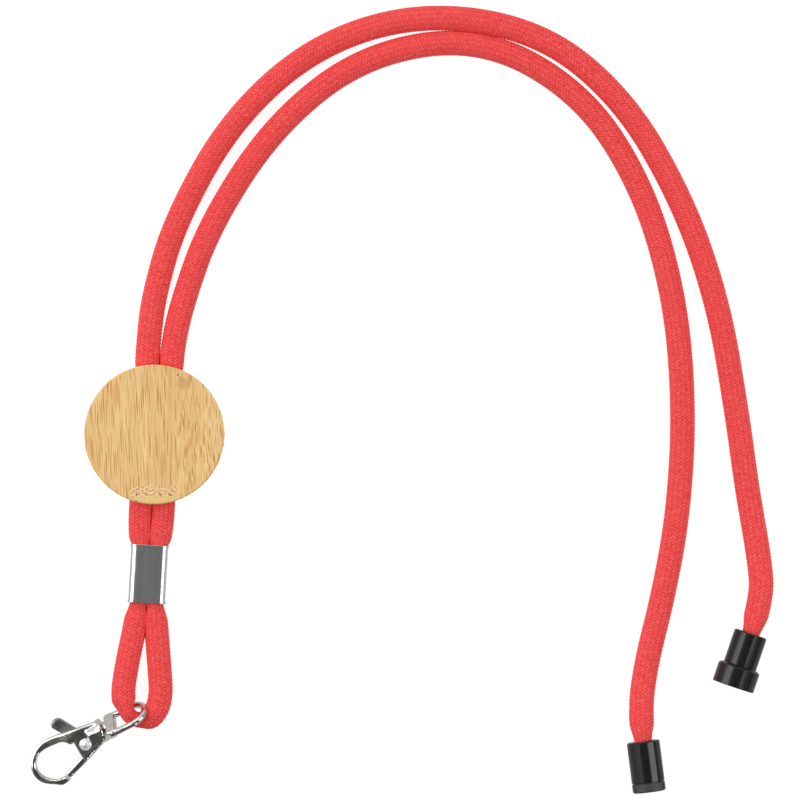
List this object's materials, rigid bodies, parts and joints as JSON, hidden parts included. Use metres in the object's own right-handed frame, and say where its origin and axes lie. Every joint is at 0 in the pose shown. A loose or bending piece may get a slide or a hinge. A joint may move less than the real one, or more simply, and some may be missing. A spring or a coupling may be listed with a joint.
{
  "type": "lanyard badge holder",
  "caption": "Neck lanyard of round braided cord with a sliding bamboo disc, a crimped ferrule, a swivelling trigger snap clip for a badge and a push-together safety connector.",
  "frame": {"origin": "centre of the bamboo disc's back face, which lies on the table", "axes": "+Z out of the disc's front face, +Y along the two straight cords from the clip towards the neck, +X to the right seen from the front"},
  "size_m": [0.2099, 0.2296, 0.0124],
  "materials": {
    "bamboo": "laminated bamboo, fine sanded and lacquered matt",
    "bamboo_edge": "bamboo, sawn edge",
    "cord": "tubular braid, red",
    "ferrule_metal": "folded and crimped sheet, nickel plated",
    "black_plastic": "moulded, glossy",
    "wedge_plastic": "moulded, matt",
    "clip_metal": "die casting, bright nickel plated",
    "spring_steel": "drawn wire",
    "rivet_metal": "bright nickel plated"
  },
  "bodies": {
    "lanyard": {"neck_cord_outer": "cord", "neck_cord_inner": "cord", "pendant_cord": "cord", "ferrule": "ferrule_metal", "female_connector": "black_plastic", "male_connector": "black_plastic", "female_cord_wedge": "wedge_plastic", "male_cord_wedge": "wedge_plastic"},
    "disc": {"disc_back": "bamboo", "disc_front": "bamboo", "disc_core_left": "bamboo_edge", "disc_core_right": "bamboo_edge"},
    "ring": {"swivel_ring": "clip_metal"},
    "hook": {"hook_body": "clip_metal", "pivot_rivet": "rivet_metal", "trigger_spring": "spring_steel"},
    "trigger": {"trigger_lever": "clip_metal"}
  },
  "joints": [
    {"name": "disc_slide", "type": "slide", "parent": "lanyard", "child": "disc", "axis": [0, 1, 0], "range_m": [-0.0114, 0.008]},
    {"name": "ring_swing", "type": "hinge", "parent": "lanyard", "child": "ring", "pos_m": [-0.00164, -0.08062, 0.0061], "axis": [-0.8829, 0.4695, 0], "range_deg": [0, 45]},
    {"name": "hook_swivel", "type": "hinge", "parent": "ring", "child": "hook", "pos_m": [-0.01378, -0.0877, 0.0041], "axis": [0.8552, 0.4987, 0.1409], "continuous": true},
    {"name": "trigger_pivot", "type": "hinge", "parent": "hook", "child": "trigger", "pos_m": [-0.01435, -0.08977, 0.00388], "axis": [0.1217, 0.071, -0.99], "range_deg": [0, 30], "stiffness_Nm_per_rad": 0.02, "springref_deg": -22.92, "deforming": ["trigger_spring"]}
  ]
}
